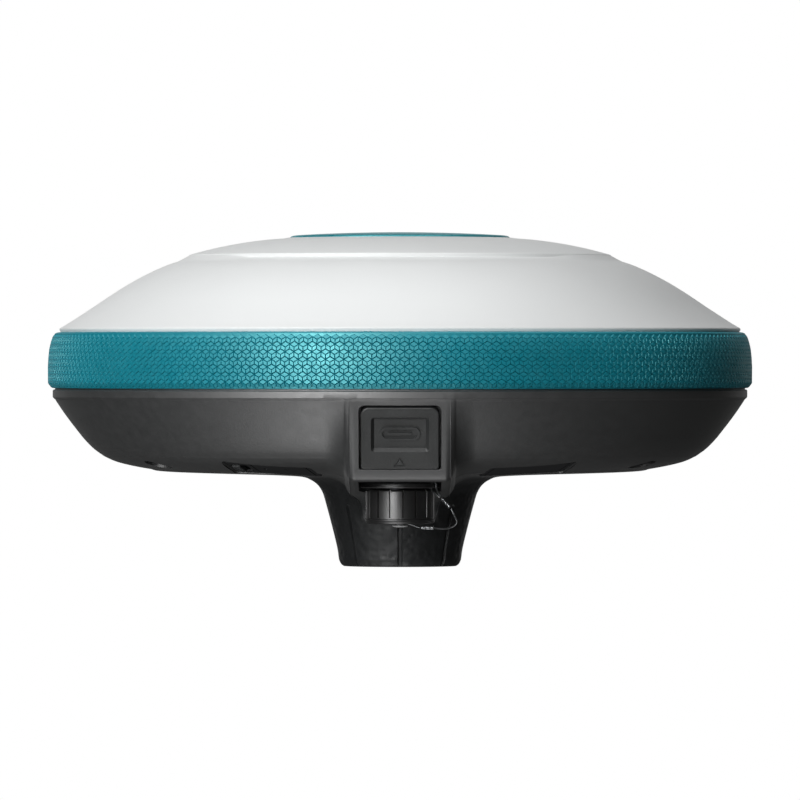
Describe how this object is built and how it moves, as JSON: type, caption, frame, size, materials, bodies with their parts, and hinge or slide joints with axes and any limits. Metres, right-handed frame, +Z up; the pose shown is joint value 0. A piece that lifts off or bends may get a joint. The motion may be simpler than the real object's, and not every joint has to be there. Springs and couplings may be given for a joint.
{
  "type": "gnss receiver",
  "caption": "Pole-mounted satellite positioning receiver: radome, textured bumper band, tapered neck, hinged port cover, capped radio connector on a wire lanyard.",
  "frame": {"origin": "centre of the neck's bottom face, which seats on the survey pole", "axes": "+Z up the pole axis, -Y towards the charging port, +Y towards the control panel"},
  "size_m": [0.16, 0.16, 0.0758],
  "materials": {
    "radome": "satin white moulding",
    "teal_disc": "satin teal",
    "teal_band": "engraved elastomer",
    "housing": "fine moulded grain",
    "cover_rubber": "matte elastomer",
    "seal": "matte",
    "cap_black": "satin black",
    "plate_dark": "satin",
    "steel": "bright",
    "brass": "turned",
    "aluminium": "satin",
    "shield_can": "tinned",
    "ceramic": "unglazed ceramic",
    "circuit_board": "solder mask",
    "black_moulding": "matte",
    "cell_wrap": "shrink wrap",
    "light_pipe": "clear moulding"
  },
  "bodies": {
    "receiver": {"top_cover": "radome", "top_disc": "teal_disc", "bumper_band": "teal_band", "lower_housing": "housing", "housing_seal": "seal", "radio_coax": "seal", "lanyard_ring": "cap_black", "control_panel": "plate_dark", "rating_plate": "plate_dark", "ferrule_upper": "steel", "lanyard_wire": "steel", "lanyard_eye_upper": "steel", "usb_receptacle": "steel", "card_socket": "steel", "patch_screw": "steel", "housing_screw_1": "steel", "housing_screw_2": "steel", "housing_screw_3": "steel", "housing_screw_4": "steel", "housing_screw_5": "steel", "housing_screw_6": "steel", "antenna_screw_1": "steel", "antenna_screw_2": "steel", "antenna_screw_3": "steel", "thread_insert": "brass", "connector_body": "brass", "connector_contact": "brass", "connector_nut": "brass", "antenna_standoff_1": "brass", "antenna_standoff_2": "brass", "antenna_standoff_3": "brass", "ground_plane": "aluminium", "amplifier_shield": "shield_can", "gnss_module": "shield_can", "radio_module": "shield_can", "modem_module": "shield_can", "wireless_module": "shield_can", "lower_patch": "ceramic", "upper_patch": "ceramic", "main_board": "circuit_board", "usb_board": "circuit_board", "button_board": "circuit_board", "data_antenna": "circuit_board", "motion_sensor": "black_moulding", "speaker": "black_moulding", "battery_tray": "black_moulding", "button_switch": "black_moulding", "battery_cell_1": "cell_wrap", "battery_cell_2": "cell_wrap", "light_guide_left": "light_pipe", "light_guide_right": "light_pipe"},
    "usb_cover": {"usb_cover": "cover_rubber"},
    "cap_swivel": {"lanyard_eye_lower": "steel", "ferrule_lower": "steel"},
    "dust_cap": {"dust_cap": "cap_black", "cap_gasket": "seal", "cap_rivet": "steel"},
    "power_button": {"power_button": "cover_rubber"},
    "card_door": {"card_door": "housing"},
    "door_latch": {"door_latch": "plate_dark"}
  },
  "joints": [
    {"name": "usb_cover_hinge", "type": "hinge", "parent": "receiver", "child": "usb_cover", "pos_m": [0, -0.07622, 0.03581], "axis": [-1, 0, 0], "range_deg": [0, 95]},
    {"name": "cap_travel", "type": "slide", "parent": "receiver", "child": "cap_swivel", "axis": [0, 0, -1], "range_m": [0, 0.00454], "deforming": ["lanyard_wire"]},
    {"name": "cap_spin", "type": "hinge", "parent": "cap_swivel", "child": "dust_cap", "pos_m": [0, -0.036, 0.012], "axis": [0, 0, -1], "range_deg": [0, 1800]},
    {"name": "power_press", "type": "slide", "parent": "receiver", "child": "power_button", "axis": [0, -0.7373, 0.6756], "range_m": [0, 0.0006], "stiffness_N_per_m": 1500},
    {"name": "card_door_hinge", "type": "hinge", "parent": "receiver", "child": "card_door", "pos_m": [-0.01929, -0.05108, 0.02262], "axis": [-0.2347, -0.9554, 0.1795], "range_deg": [0, 100]},
    {"name": "door_latch_slide", "type": "slide", "parent": "card_door", "child": "door_latch", "axis": [0.9676, -0.2473, -0.0512], "range_m": [0, 0.0012]}
  ],
  "couplings": [
    {"joint": "cap_travel", "follows": "cap_spin", "m_per_rad": 0.00014435}
  ]
}
